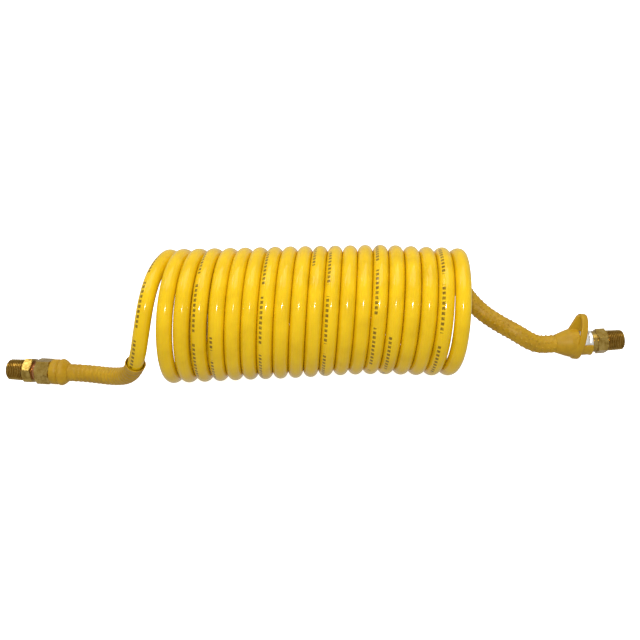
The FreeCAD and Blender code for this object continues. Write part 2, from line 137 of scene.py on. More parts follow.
# Right end.
RIGID_TURN = math.radians(32)
RIGID_HEX_END = 0.0222
SHOULDER_RADIUS = 0.0089
SHOULDER_END = 0.0256
FERRULE_START = 0.0257
FERRULE_END = 0.0437
FERRULE_RADIUS = 0.0096
FERRULE_BORE = 0.00605
GRIP_END = 0.055
HUB_START = 0.0366
HUB_END = 0.0444
LOOP_START = 0.033
LOOP_HEIGHT = 0.0395
LOOP_WIDTH = 0.027
LOOP_WALL = 0.0028
LOOP_DEPTH = 0.0054
LOOP_RISE = 0.00525
LOOP_LEAN = math.radians(11.5)

# Guard sleeves: the left one has a spiral rib and a flared mouth, the right one pips and pits.
LEFT_SLEEVE_LENGTH = 0.0823
RIGHT_SLEEVE_LENGTH = 0.105
SLEEVE_BORE = 0.0062
RIB_SLEEVE_RADIUS = 0.0071
RIB_PITCH = 0.0042
RIB_HEIGHT = 0.00016
RIB_FADE = 0.006
MOUTH_REACH = 0.012
MOUTH_GROW = 0.0007
MOUTH_BORE_GROW = 0.0009
PIP_SLEEVE_RADIUS = 0.0074
PIP_LANES = 9
PIP_PITCH = 0.0046
PIP_HEIGHT = 0.0006
PIP_RADIUS = 0.0012
PIT_PITCH = 0.011
PIT_DEPTH = 0.0009
PIT_RADIUS = 0.0011
PIT_TURN = math.radians(232)

# Plain dashes along the hose: their turn about the hose from straight outwards, their height
# in turns around it, and for rows, groups and dashes (start, pitch, inked share) in tenths of
# a metre.
MARK_TURN = math.radians(28)
MARK_HEIGHT = 0.066
MARK_ROWS = ((9.9, 10.9, 0.31), (9.9, 0.41, 0.8), (9.9, 0.034, 0.6))

# ---------------------------------------------------------------- places from the frame


def end_frame(mount_name):
    """Frame of a fitting, from the mount at the mouth of its thread."""
    mount = next(m for m in frame["record"]["mounts"] if m["name"] == mount_name)
    inward = -Vector(mount["axis"])
    up = Vector((0, 0, 1))
    side = up.cross(inward).normalized()
    turn = Matrix((inward, side, inward.cross(side))).transposed().to_4x4()
    return Matrix.Translation(mount["pos_m"]) @ turn


left_end = end_frame("left_thread")
right_end = end_frame("right_thread")

coil_low, coil_high = (Vector(corner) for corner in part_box("hose_coil"))
coil_middle = (coil_low + coil_high) / 2
coil_ground = Vector((coil_middle.x, coil_middle.y, 0))
coil_radius = (coil_high.z - coil_low.z) / 2 - HOSE_RADIUS
coil_pitch = (coil_high.x - coil_low.x - 2 * HOSE_RADIUS) / COIL_TURNS * PITCH_SHARE


def on_axis(end, station):
    """The point of a fitting's axis at a station."""
    return end @ Vector((station, 0, 0))


# ---------------------------------------------------------------- camera, floor and lights

CAMERA_PLACE = (0.0189, -0.502, 0.1806)
CAMERA_LENS = 35.86
CAMERA_HEADING = 0.024
CAMERA_TILT = math.radians(75)
CAMERA_ROLL = -0.037


def add_camera():
    """A camera at the front, a little above the hose, turned slightly about its own axis."""
    data = bpy.data.cameras.new("camera")
    data.lens = CAMERA_LENS
    data.sensor_width = 36
    camera = bpy.data.objects.new("camera", data)
    place = Matrix.Translation(coil_ground + Vector(CAMERA_PLACE))
    heading = Matrix.Rotation(CAMERA_HEADING, 4, "Z")
    tilt = Matrix.Rotation(CAMERA_TILT, 4, "X")
    roll = Matrix.Rotation(CAMERA_ROLL, 4, "Z")
    camera.matrix_world = place @ heading @ tilt @ roll
    bpy.context.collection.objects.link(camera)
    bpy.context.scene.camera = camera


def add_area(name, place, aim, size, power):
    """A white square area light that faces a point."""
    data = bpy.data.lights.new(name, "AREA")
    data.size = size
    data.energy = power
    light = bpy.data.objects.new(name, data)
    light.location = place
    light.rotation_euler = (Vector(aim) - Vector(place)).to_track_quat("-Z", "Y").to_euler()
    bpy.context.collection.objects.link(light)


def add_floor():
    """A pale floor that curves up into a backdrop far behind.

    It is lit evenly by itself, and throws no light or reflection onto the hose.
    """
    front = -2.5
    depth = 1.6
    sweep = 0.7
    top = 3.5
    half_width = 4
    steps = 24
    profile = [(front, 0.0), (depth, 0.0)]
    for i in range(1, steps + 1):
        angle = math.pi / 2 * i / steps
        profile.append((depth + sweep * math.sin(angle), sweep * (1 - math.cos(angle))))
    profile.append((depth + sweep, top))
    bm = bmesh.new()
    rows = [[bm.verts.new((x, y, z)) for x in (-half_width, half_width)] for y, z in profile]
    for near, far in zip(rows, rows[1:]):
        bm.faces.new((near[0], near[1], far[1], far[0]))
    mesh = bpy.data.meshes.new("floor")
    bm.to_mesh(mesh)
    bm.free()
    mesh.shade_smooth()
    floor = bpy.data.objects.new("floor", mesh)
    bpy.context.collection.objects.link(floor)
    material = bpy.data.materials.new("floor")
    material.use_nodes = True
    shader = material.node_tree.nodes["Principled BSDF"]
    shader.inputs["Base Color"].default_value = (0.94, 0.94, 0.935, 1)
    shader.inputs["Roughness"].default_value = 0.9
    shader.inputs["Specular IOR Level"].default_value = 0.1
    shader.inputs["Emission Color"].default_value = (1, 1, 1, 1)
    shader.inputs["Emission Strength"].default_value = 1.0
    mesh.materials.append(material)
    floor.visible_diffuse = False
    floor.visible_glossy = False


def add_lights():
    """A soft light overhead, a window to the left and a small flash above the camera."""
    bpy.context.scene.view_settings.view_transform = "Standard"
    world = bpy.data.worlds.new("studio")
    world.use_nodes = True
    background = world.node_tree.nodes["Background"]
    background.inputs["Color"].default_value = (1, 1, 1, 1)
    background.inputs["Strength"].default_value = 0.55
    bpy.context.scene.world = world
    add_area("overhead", (0.1, -0.35, 1.5), aim=(0, 0, 0), size=1.1, power=8.4)
    add_area("window", (-0.95, -0.3, 1.5), aim=(-0.23, 0, 0.02), size=0.5, power=3)
    flash_place = coil_ground + Vector((0.015, -0.5, 0.27))
    add_area("flash", flash_place, aim=(0, 0, 0.05), size=0.024, power=1.25)


# ---------------------------------------------------------------- meshes from rings


def link(mesh, name):
    """Add a mesh to the scene as an object."""
    mesh.name = name
    piece = bpy.data.objects.new(name, mesh)
    bpy.context.collection.objects.link(piece)
    return piece


def join_rings(bm, rings, loop):
    """Faces between rings of equal length. In a loop the last ring meets the first."""
    rows = [[bm.verts.new(spot) for spot in ring] for ring in rings]
    pairs = list(zip(rows, rows[1:]))
    if loop:
        pairs.append((rows[-1], rows[0]))
    for near, far in pairs:
        count = len(near)
        for i in range(count):
            j = (i + 1) % count
            bm.faces.new((near[i], near[j], far[j], far[i]))


def settle(bm, sharp_degrees=30):
    """Weld the seams, turn the faces outwards and mark the sharp edges."""
    bmesh.ops.remove_doubles(bm, verts=bm.verts, dist=1e-6)
    bmesh.ops.recalc_face_normals(bm, faces=bm.faces)
    for face in bm.faces:
        face.smooth = True
    for edge in bm.edges:
        if edge.is_manifold and edge.calc_face_angle() > math.radians(sharp_degrees):
            edge.smooth = False


def to_piece(bm, name, material):
    """Turn a finished bmesh into an object with one material."""
    mesh = bpy.data.meshes.new(name)
    bm.to_mesh(mesh)
    bm.free()
    mesh.materials.append(material)
    return link(mesh, name)


def polar(station, radii, start=0.0):
    """A ring about X through one radius for each segment."""
    angles = [start + 2 * math.pi * i / SEGMENTS for i in range(SEGMENTS)]
    return [Vector((station, r * math.cos(a), r * math.sin(a))) for r, a in zip(radii, angles)]


def round_ring(station, radius, start=0.0):
    """A circle about X."""
    return polar(station, [radius] * SEGMENTS, start)


def hex_ring(station, limit, start):
    """A hexagon about X, its corners cut off at a radius."""
    radii = []
    for i in range(SEGMENTS):
        from_flat = (2 * math.pi * i / SEGMENTS) % (math.pi / 3) - math.pi / 6
        radii.append(min(HEX_FLATS / 2 / math.cos(from_flat), limit))
    return polar(station, radii, start)


def hexagon_rings(near, far, start):
    """A hexagon bar with both ends turned down, from one face to the other."""
    steps = 6
    shares = [i / steps for i in range(steps + 1)]
    rings = []
    for share in shares:
        limit = HEX_FACE + (HEX_CORNER - HEX_FACE) * share
        rings.append(hex_ring(near + HEX_CHAMFER * share, limit, start))
    for share in reversed(shares):
        limit = HEX_FACE + (HEX_CORNER - HEX_FACE) * share
        rings.append(hex_ring(far - HEX_CHAMFER * share, limit, start))
    return rings


def turned_rings(outline, start=0.0):
    """Circles through the (station, radius) corners of an outline."""
    return [round_ring(station, radius, start) for station, radius in outline]


def barb_outline(seat, end):
    """The barbed tail of a fitting, from its seat to its end."""
    outline = [(seat, BARB_ROOT)]
    for i in range(3):
        face = seat + BARB_LEAD + BARB_PITCH * i
        outline += [(face, BARB_ROOT), (face, BARB_CREST), (face + BARB_SLOPE, BARB_ROOT)]
    return outline + [(end, BARB_ROOT)]


def mouth_outline(back):
    """The inside of a threaded fitting, from its back to its mouth."""
    step = MOUTH_BORE - AIR_WAY
    return [
        (back, AIR_WAY),
        (MOUTH_DEPTH + step, AIR_WAY),
        (MOUTH_DEPTH, MOUTH_BORE),
        (CHAMFER, MOUTH_BORE),
        (0, MOUTH_BORE + CHAMFER),
        (0, LEAD_RADIUS),
    ]


def thread_radius(station, phase):
    """Radius of the taper thread at a station, for a phase from crest to crest."""
    crest_flat = 0.14
    root_flat = 0.14
    flank = (1 - crest_flat - root_flat) / 2
    if phase < crest_flat:
        share = 1
    elif phase < crest_flat + flank:
        share = 1 - (phase - crest_flat) / flank
    elif phase < crest_flat + flank + root_flat:
        share = 0
    else:
        share = (phase - crest_flat - flank - root_flat) / flank
    crest = CREST_RADIUS + THREAD_TAPER * station
    radius = crest - THREAD_DEPTH * (1 - share)
    lead = LEAD_RADIUS + 1.1 * station
    run_out = RELIEF_RADIUS + max(0, THREAD_LENGTH - RELIEF_LENGTH - station) * 1.5
    return min(radius, lead, run_out)


def add_thread(bm, start):
    """The helical outside of the thread, from the mouth to the hexagon, wound right-handed."""
    phases = (0.0, 0.14, 0.26, 0.38, 0.5, 0.64, 0.76, 0.88)
    per_pitch = len(phases)
    laps = math.ceil(THREAD_LENGTH / THREAD_PITCH) + 1
    rows = []
    for lap in range(-1, laps + 1):
        for phase in phases:
            row = []
            for i in range(SEGMENTS):
                share = i / SEGMENTS
                wanted = (lap + phase + share) * THREAD_PITCH
                station = min(max(wanted, 0), THREAD_LENGTH)
                if wanted <= 0:
                    radius = LEAD_RADIUS
                elif wanted >= THREAD_LENGTH:
                    radius = RELIEF_RADIUS
                else:
                    radius = thread_radius(station, phase)
                angle = start + 2 * math.pi * share
                spot = Vector((station, radius * math.cos(angle), radius * math.sin(angle)))
                row.append(bm.verts.new(spot))
            rows.append(row)
    for k in range(len(rows) - 1):
        for i in range(SEGMENTS - 1):
            bm.faces.new((rows[k][i], rows[k][i + 1], rows[k + 1][i + 1], rows[k + 1][i]))
        if k + 1 + per_pitch < len(rows):
            ahead = rows[k + per_pitch][0]
            beyond = rows[k + per_pitch + 1][0]
            bm.faces.new((rows[k][-1], ahead, beyond, rows[k + 1][-1]))


# ---------------------------------------------------------------- the hose's line


def loosened(turn):
    """How far a point of the coil strays along X."""
    return sum(shift * math.exp(-(((turn - at) / spread) ** 2)) for at, spread, shift in LOOSE_SPOTS)


def bend(turn):
    """Shift along Y and change of radius of the coil at a turn, eased between the spots."""
    for before, after in zip(BEND_SPOTS, BEND_SPOTS[1:]):
        if turn <= after[0]:
            share = (turn - before[0]) / (after[0] - before[0])
            ease = share * share * (3 - 2 * share)
            return [a + (b - a) * ease for a, b in zip(before[1:], after[1:])]
    return BEND_SPOTS[-1][1:]


def coil_point(turn):
    """A control point of the coil, which rests on the floor. Whole turns are at the bottom."""
    angle = 2 * math.pi * turn
    aside, wider = bend(turn)
    reach = (coil_radius + wider) / SPLINE_INSET
    rise = -reach * math.cos(angle)
    along = coil_pitch * (turn - (COIL_TURNS + 1) / 2) + COIL_LEAN * rise + loosened(turn)
    return coil_middle + Vector((along, aside - reach * math.sin(angle), wider + rise))


def hose_route():
    """Control points of the whole hose, from the left fitting's barbs to the right one's."""
    left_axis = [on_axis(left_end, at) for at in (COLLAR_START, COLLAR_END, COLLAR_END + LAST_RUN)]
    right_axis = [on_axis(right_end, at) for at in (FERRULE_START, GRIP_END, GRIP_END + LAST_RUN)]
    left_tail = [coil_ground + Vector(corner) for corner in reversed(LEFT_ROUTE)]
    right_tail = [coil_ground + Vector(corner) for corner in RIGHT_ROUTE]
    turns = [0.5 + i / POINTS_PER_TURN for i in range(COIL_TURNS * POINTS_PER_TURN + 1)]
    coil = [coil_point(turn) for turn in turns]
    return left_axis + left_tail + coil + right_tail + right_axis[::-1]


def line_of(points):
    """Points along the smooth line that a list of control points makes."""
    curve = bpy.data.curves.new("route", "CURVE")
    curve.dimensions = "3D"
    curve.resolution_u = 6
    spline = curve.splines.new("NURBS")
    spline.points.add(len(points) - 1)
    for point, spot in zip(spline.points, points):
        point.co = (*spot, 1)
    spline.order_u = 3
    spline.use_endpoint_u = True
    holder = bpy.data.objects.new("route", curve)
    mesh = bpy.data.meshes.new_from_object(holder)
    line = [vertex.co.copy() for vertex in mesh.vertices]
    bpy.data.objects.remove(holder)
    bpy.data.curves.remove(curve)
    bpy.data.meshes.remove(mesh)
    return line


def lengths_along(line):
    """Distance of each point of a line from its start."""
    reached = [0.0]
    for a, b in zip(line, line[1:]):
        reached.append(reached[-1] + (b - a).length)
    return reached


def stretch(line, begin, end, count):
    """Evenly spaced points of a line between two distances from its start."""
    reached = lengths_along(line)
    spots = []
    k = 0
    for i in range(count):
        wanted = begin + (end - begin) * i / (count - 1)
        while k < len(line) - 2 and reached[k + 1] < wanted:
            k += 1
        share = (wanted - reached[k]) / (reached[k + 1] - reached[k])
        spots.append(line[k].lerp(line[k + 1], share))
    return spots


def sections(line, first_side):
    """(centre, side, up) at each point of a line, turned no more than the line turns."""
    out = []
    side = first_side
    for i, spot in enumerate(line):
        before = line[max(i - 1, 0)]
        after = line[min(i + 1, len(line) - 1)]
        ahead = (after - before).normalized()
        side = (side - ahead * side.dot(ahead)).normalized()
        out.append((spot, side, ahead.cross(side)))
    return out


def section_ring(section, radii):
    """A ring around one section of a line, through evenly spaced radii."""
    centre, side, up = section
    count = len(radii)
    ring = []
    for i, radius in enumerate(radii):
        angle = 2 * math.pi * i / count
        ring.append(centre + (side * math.cos(angle) + up * math.sin(angle)) * radius)
    return ring


# ---------------------------------------------------------------- materials

def new_material(name):
    """A node material: itself, its tree and its shader."""
    material = bpy.data.materials.new(name)
    material.use_nodes = True
    tree = material.node_tree
    return material, tree, tree.nodes["Principled BSDF"]


def coordinates(tree, kind, scale):
    """Object or UV coordinates, stretched by a scale for each axis."""
    source = tree.nodes.new("ShaderNodeTexCoord")
    mapping = tree.nodes.new("ShaderNodeMapping")
    mapping.inputs["Scale"].default_value = scale
    tree.links.new(source.outputs[kind], mapping.inputs["Vector"])
    return mapping.outputs["Vector"]


def noise_of(tree, vector, scale, detail=3.0, roughness=0.55):
    """A noise pattern."""
    node = tree.nodes.new("ShaderNodeTexNoise")
    node.inputs["Scale"].default_value = scale
    node.inputs["Detail"].default_value = detail
    node.inputs["Roughness"].default_value = roughness
    tree.links.new(vector, node.inputs["Vector"])
    return node.outputs["Fac"]


def ramp(tree, value, *stops):
    """Colours or greys along a value. Each stop is (position, colour)."""
    node = tree.nodes.new("ShaderNodeValToRGB")
    elements = node.color_ramp.elements
    while len(elements) < len(stops):
        elements.new(0.5)
    for element, (position, colour) in zip(elements, stops):
        element.position = position
        element.color = (*colour, 1) if isinstance(colour, tuple) else (colour, colour, colour, 1)
    tree.links.new(value, node.inputs["Fac"])
    return node.outputs["Color"]


def mix_colours(tree, mode, share, first, second):
    """Mix two colours. Each input is a socket or a plain value."""
    node = tree.nodes.new("ShaderNodeMix")
    node.data_type = "RGBA"
    node.blend_type = mode
    for socket, value in (("Factor", share), ("A", first), ("B", second)):
        target = next(s for s in node.inputs if s.name == socket and s.enabled)
        if isinstance(value, bpy.types.NodeSocket):
            tree.links.new(value, target)
        else:
            target.default_value = value
    return next(s for s in node.outputs if s.enabled)


def compute(tree, operation, *values):
    """One step of arithmetic. Each value is a socket or a number."""
    node = tree.nodes.new("ShaderNodeMath")
    node.operation = operation
    for socket, value in zip(node.inputs, values):
        if isinstance(value, bpy.types.NodeSocket):
            tree.links.new(value, socket)
        else:
            socket.default_value = value
    return node.outputs[0]


def add_bump(tree, shader, height, strength, distance):
    """Bump the surface by a height pattern."""
    node = tree.nodes.new("ShaderNodeBump")
    node.inputs["Strength"].default_value = strength
    node.inputs["Distance"].default_value = distance
    tree.links.new(height, node.inputs["Height"])
    tree.links.new(node.outputs["Normal"], shader.inputs["Normal"])


def mark_pattern(tree):
    """Where the hose is marked: rows of plain dashes along it, with long gaps between."""
    axes = tree.nodes.new("ShaderNodeSeparateXYZ")
    tree.links.new(coordinates(tree, "UV", (1, 1, 1)), axes.inputs["Vector"])
    along, around = axes.outputs["X"], axes.outputs["Y"]
    turned = compute(tree, "FRACT", compute(tree, "ADD", around, 0.5))
    from_row = compute(tree, "ABSOLUTE", compute(tree, "SUBTRACT", turned, 0.5))
    marks = compute(tree, "LESS_THAN", from_row, MARK_HEIGHT / 2)
    for start, pitch, share in MARK_ROWS:
        step = compute(tree, "DIVIDE", compute(tree, "SUBTRACT", along, start), pitch)
        inked = compute(tree, "LESS_THAN", compute(tree, "FRACT", step), share)
        marks = compute(tree, "MULTIPLY", marks, inked)
    return marks


def hose_material():
    """Glossy yellow nylon with faint draw lines, soft blotches, fine scuffs and plain dashes."""
    material, tree, shader = new_material("hose_nylon")
    along = coordinates(tree, "UV", (3.0, 40.0, 1.0))
    draw_lines = noise_of(tree, along, 1.0, 2.0)
    place = coordinates(tree, "Object", (1, 1, 1))
    blotches = noise_of(tree, place, 60.0, 3.0)
    scuffs = noise_of(tree, place, 900.0, 4.0, 0.65)
    colour = ramp(
        tree,
        blotches,
        (0.3, (0.73, 0.456, 0.004)),
        (0.5, (0.80, 0.508, 0.005)),
        (0.72, (0.85, 0.545, 0.006)),
    )
    line_shade = ramp(tree, draw_lines, (0.35, 0.82), (0.65, 1.0))
    streaked = mix_colours(tree, "MULTIPLY", 0.25, colour, line_shade)
    ink = compute(tree, "MULTIPLY", mark_pattern(tree), ramp(tree, scuffs, (0.3, 0.35), (0.5, 0.8)))
    inked = mix_colours(tree, "MIX", ink, streaked, (0.07, 0.035, 0.006, 1))
    tree.links.new(inked, shader.inputs["Base Color"])
    shine = ramp(tree, scuffs, (0.35, 0.13), (0.62, 0.15), (0.8, 0.2))
    tree.links.new(shine, shader.inputs["Roughness"])
    shader.inputs["IOR"].default_value = 1.53
    shader.inputs["Specular IOR Level"].default_value = 0.28
    shader.inputs["Subsurface Weight"].default_value = 0.08
    shader.inputs["Subsurface Radius"].default_value = (1.0, 0.55, 0.08)
    shader.inputs["Subsurface Scale"].default_value = 0.0015
    relief = compute(tree, "ADD", draw_lines, compute(tree, "MULTIPLY", scuffs, 0.05))
    add_bump(tree, shader, relief, 0.08, 0.0002)
    return material


def guard_material(name, pips):
    """Moulded mustard plastic with a fine grain. The sleeve with pips is a little dirtier."""
    material, tree, shader = new_material(name)
    place = coordinates(tree, "Object", (1, 1, 1))
    blotches = noise_of(tree, place, 90.0, 4.0)
    grain = noise_of(tree, place, 2600.0, 2.0)
    colour = ramp(
        tree,
        blotches,
        (0.3, (0.42, 0.230, 0.003)),
        (0.52, (0.50, 0.282, 0.004)),
        (0.75, (0.57, 0.332, 0.006)),
    )
    dirt = noise_of(tree, place, 420.0 if pips else 230.0, 5.0, 0.7)
    dirt_shade = ramp(tree, dirt, (0.30, 0.62), (0.46, 1.0))
    dirtied = mix_colours(tree, "MULTIPLY", 0.75 if pips else 0.35, colour, dirt_shade)
    tree.links.new(dirtied, shader.inputs["Base Color"])
    tree.links.new(ramp(tree, dirt, (0.3, 0.55), (0.7, 0.38)), shader.inputs["Roughness"])
    shader.inputs["Specular IOR Level"].default_value = 0.32
    shader.inputs["Subsurface Weight"].default_value = 0.1
    shader.inputs["Subsurface Radius"].default_value = (1.0, 0.5, 0.1)
    shader.inputs["Subsurface Scale"].default_value = 0.001
    add_bump(tree, shader, grain, 0.25, 0.00012)
    return material


def metal_material(name, dark, mid, light, rough):
    """Turned metal: fine lines around X, tarnish in blotches and a few bright rubs."""
    material, tree, shader = new_material(name)
    lines = noise_of(tree, coordinates(tree, "Object", (2200, 40, 40)), 1.0, 2.0)
    place = coordinates(tree, "Object", (1, 1, 1))
    tarnish = noise_of(tree, place, 260.0, 5.0, 0.65)
    colour = ramp(tree, tarnish, (0.32, dark), (0.5, mid), (0.7, light))
    tree.links.new(colour, shader.inputs["Base Color"])
    tree.links.new(ramp(tree, tarnish, (0.3, rough + 0.18), (0.6, rough)), shader.inputs["Roughness"])
    shader.inputs["Metallic"].default_value = 1.0
    add_bump(tree, shader, lines, 0.18, 0.00005)
    return material


def rubber_material():
    """Black nitrile rubber with a faint moulded grain."""
    material, tree, shader = new_material("seal_rubber")
    grain = noise_of(tree, coordinates(tree, "Object", (1, 1, 1)), 1500.0, 3.0)
    tree.links.new(ramp(tree, grain, (0.3, 0.012), (0.7, 0.03)), shader.inputs["Base Color"])
    shader.inputs["Roughness"].default_value = 0.5
    add_bump(tree, shader, grain, 0.2, 0.0001)
    return material


nylon = hose_material()
guard_plastic = guard_material("guard_plastic", pips=False)
pip_plastic = guard_material("guard_plastic_pips", pips=True)
brass = metal_material(
    "turned_brass", (0.28, 0.165, 0.026), (0.46, 0.30, 0.068), (0.62, 0.44, 0.13), 0.22
)
copper = metal_material(
    "washer_bronze", (0.30, 0.11, 0.04), (0.50, 0.22, 0.10), (0.66, 0.34, 0.18), 0.25
)
plating = metal_material(
    "bright_plating", (0.86, 0.85, 0.80), (0.95, 0.94, 0.90), (1.0, 0.99, 0.95), 0.3
)
spring_steel = metal_material(
    "spring_steel", (0.16, 0.16, 0.17), (0.3, 0.3, 0.31), (0.4, 0.4, 0.41), 0.3
)
rubber = rubber_material()


# ---------------------------------------------------------------- hose


def mark_phases(tube):
    """Turns around each section from its side to the line of the dashes.

    The line faces away from the coil's axis and a little towards -X all along.
    """
    phases = []
    for centre, side, up in tube:
        outward = Vector((0, centre.y - coil_middle.y, centre.z - coil_middle.z)).normalized()
        wanted = outward * math.cos(MARK_TURN) - Vector((1, 0, 0)) * math.sin(MARK_TURN)
        phase = math.atan2(wanted.dot(up), wanted.dot(side)) / (2 * math.pi)
        if phases:
            phase += round(phases[-1] - phase)
        phases.append(phase)
    return phases


def with_length_uv(mesh, sides, step, phases):
    """UVs for a tube built ring by ring: tenths of a metre along, and turns from the dashes.

    The rings of the bore come after those of the outside, and share its last phase.
    """
    layer = mesh.uv_layers.new(name="UVMap")
    for polygon in mesh.polygons:
        closing = polygon.index % sides == sides - 1
        for loop in polygon.loop_indices:
            ring, place = divmod(mesh.loops[loop].vertex_index, sides)
            across = sides if closing and place == 0 else place
            phase = phases[min(ring, len(phases) - 1)]
            layer.data[loop].uv = (ring * step * 10, across / sides - phase)


def add_hose(line):
    """The whole hose as one hollow tube along its line."""
    total = lengths_along(line)[-1]
    count = round(total / HOSE_STEP)
    spots = stretch(line, 0, total, count)
    tube = sections(spots, Vector((0, 0, 1)))
    outer = [section_ring(section, [HOSE_RADIUS] * HOSE_SIDES) for section in tube]
    inner = [section_ring(section, [HOSE_BORE] * HOSE_SIDES) for section in reversed(tube)]
    bm = bmesh.new()
    join_rings(bm, outer + inner, loop=True)
    for face in bm.faces:
        face.smooth = True
    bmesh.ops.reverse_faces(bm, faces=bm.faces)
    mesh = bpy.data.meshes.new("hose")
    bm.to_mesh(mesh)
    bm.free()
    with_length_uv(mesh, HOSE_SIDES, total / (count - 1), mark_phases(tube))
    mesh.materials.append(nylon)
    hose = link(mesh, "hose")
    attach(hose, "hose")
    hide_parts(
        "hose_coil", "left_hose_tail", "right_hose_tail", "left_hose_end", "right_hose_end"
    )


# ---------------------------------------------------------------- fittings


def place_piece(bm, name, end, material, body, slot, *nodes):
    """Put a piece built in a fitting's frame where it belongs, riding on its body."""
    piece = to_piece(bm, name, material)
    piece.matrix_world = end
    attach(piece, body)
    if nodes:
        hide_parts(*nodes)
    return piece


def add_swivel_stem():
    """Taper thread, hexagon and the journal with its two seal grooves and clip groove."""
    grooves = ((0.0258, 0.002, 0.005), (0.0288, 0.002, 0.005), (0.0318, 0.0012, 0.0057))
    rings = turned_rings([(THREAD_LENGTH, RELIEF_RADIUS)], STEM_TURN)
    rings += hexagon_rings(THREAD_LENGTH, STEM_HEX_END, STEM_TURN)
    outline = [(STEM_HEX_END, JOURNAL_RADIUS)]
    for station, width, floor in grooves:
        near = station - width / 2
        far = station + width / 2
        outline += [(near, JOURNAL_RADIUS), (near, floor), (far, floor), (far, JOURNAL_RADIUS)]
    outline += [(JOURNAL_END, JOURNAL_RADIUS)]
    rings += turned_rings(outline + mouth_outline(JOURNAL_END), STEM_TURN)
    bm = bmesh.new()
    join_rings(bm, rings, loop=False)
    add_thread(bm, STEM_TURN)
    settle(bm)
    place_piece(bm, "swivel_stem_brass", left_end, brass, "swivel", "fitting_brass", "swivel_stem")


def add_swivel_body():
    """Hexagon around the journal and the barbed tail inside the hose."""
    bore = JOURNAL_RADIUS + 0.00005
    socket_end = JOURNAL_END + 0.0004
    clip_near, clip_far, clip_radius = 0.0312, 0.0324, 0.0072
    outline = barb_outline(SWIVEL_END, COLLAR_END)
    outline += [(COLLAR_END, AIR_WAY), (socket_end, AIR_WAY), (socket_end, bore)]
    outline += [(clip_far, bore), (clip_far, clip_radius), (clip_near, clip_radius), (clip_near, bore)]
    outline += [(SWIVEL_START + CHAMFER, bore), (SWIVEL_START, bore + CHAMFER)]
    rings = hexagon_rings(SWIVEL_START, SWIVEL_END, SWIVEL_TURN)
    rings += turned_rings(outline, SWIVEL_TURN)
    bm = bmesh.new()
    join_rings(bm, rings, loop=True)
    settle(bm)
    place_piece(bm, "swivel_body_brass", left_end, brass, "hose", "fitting_brass", "swivel_body")


def add_rigid_adapter():
    """Taper thread, hexagon, shoulder and barbed tail in one piece."""
    rings = turned_rings([(THREAD_LENGTH, RELIEF_RADIUS)], RIGID_TURN)
    rings += hexagon_rings(THREAD_LENGTH, RIGID_HEX_END, RIGID_TURN)
    outline = [(RIGID_HEX_END, SHOULDER_RADIUS), (SHOULDER_END - CHAMFER, SHOULDER_RADIUS)]
    outline += [(SHOULDER_END, SHOULDER_RADIUS - CHAMFER)]
    outline += barb_outline(SHOULDER_END, HUB_END) + mouth_outline(HUB_END)
    rings += turned_rings(outline, RIGID_TURN)
    bm = bmesh.new()
    join_rings(bm, rings, loop=False)
    add_thread(bm, RIGID_TURN)
    settle(bm)
    place_piece(bm, "rigid_adapter_brass", right_end, brass, "hose", "fitting_brass", "rigid_adapter")


def add_left_collar():
    """Moulded collar: a plain band, a groove and a crowned band that rounds down to the sleeve."""
    outline = [
        (COLLAR_START, 0.00725),
        (COLLAR_START, 0.0099),
        (0.0358, 0.0103),
        (0.0404, 0.0104),
        (0.0409, 0.0099),
        (0.0413, 0.0097),
        (0.0417, 0.0100),
        (0.0424, 0.0106),
        (0.0432, 0.0109),
        (0.0441, 0.0109),
        (0.0451, 0.0106),
        (0.0461, 0.0100),
        (0.0470, 0.0093),
        (0.0478, 0.0086),
        (0.0485, 0.0079),
        (COLLAR_END, 0.0074),
        (COLLAR_END, 0.0064),
        (0.0444, 0.0064),
        (0.0444, 0.00725),
    ]
    bm = bmesh.new()
    join_rings(bm, turned_rings(outline), loop=True)
    settle(bm, 50)
    place_piece(bm, "left_collar", left_end, guard_plastic, "hose", "guard_plastic", "left_guard_collar")


def add_right_ferrule():
    """Bright crimped sleeve with three rolled grooves."""
    edge = 0.0005
    groove_depth = 0.00045
    groove_reach = 0.0008
    outline = [(FERRULE_START, FERRULE_BORE), (FERRULE_START, FERRULE_RADIUS - edge)]
    outline += [(FERRULE_START + edge, FERRULE_RADIUS)]
    for station in (0.0290, 0.0335, 0.0385):
        for share in (-1, -0.6, 0, 0.6, 1):
            depth = groove_depth * math.cos(share * math.pi / 2) ** 2
            outline += [(station + groove_reach * share, FERRULE_RADIUS - depth)]
    outline += [(FERRULE_END - edge, FERRULE_RADIUS), (FERRULE_END, FERRULE_RADIUS - edge)]
    outline += [(FERRULE_END, FERRULE_BORE)]
    bm = bmesh.new()
    join_rings(bm, turned_rings(outline), loop=True)
    settle(bm)
    place_piece(bm, "right_ferrule_plated", right_end, plating, "hose", "ferrule_steel", "right_ferrule")


# ---------------------------------------------------------------- grip


def add_grip_sleeve(bm):
    """Hub around the ferrule and the cone that runs down to the guard sleeve."""
    outline = [
        (HUB_START, 0.00965),
        (HUB_START, 0.012),
        (HUB_END - 0.001, 0.012),
        (0.0475, 0.0107),
        (0.0513, 0.0092),
        (0.0534, 0.0084),
        (GRIP_END, 0.0079),
        (GRIP_END, 0.0067),
        (HUB_END, 0.0067),
        (HUB_END, 0.00965),
    ]
    join_rings(bm, turned_rings(outline), loop=True)


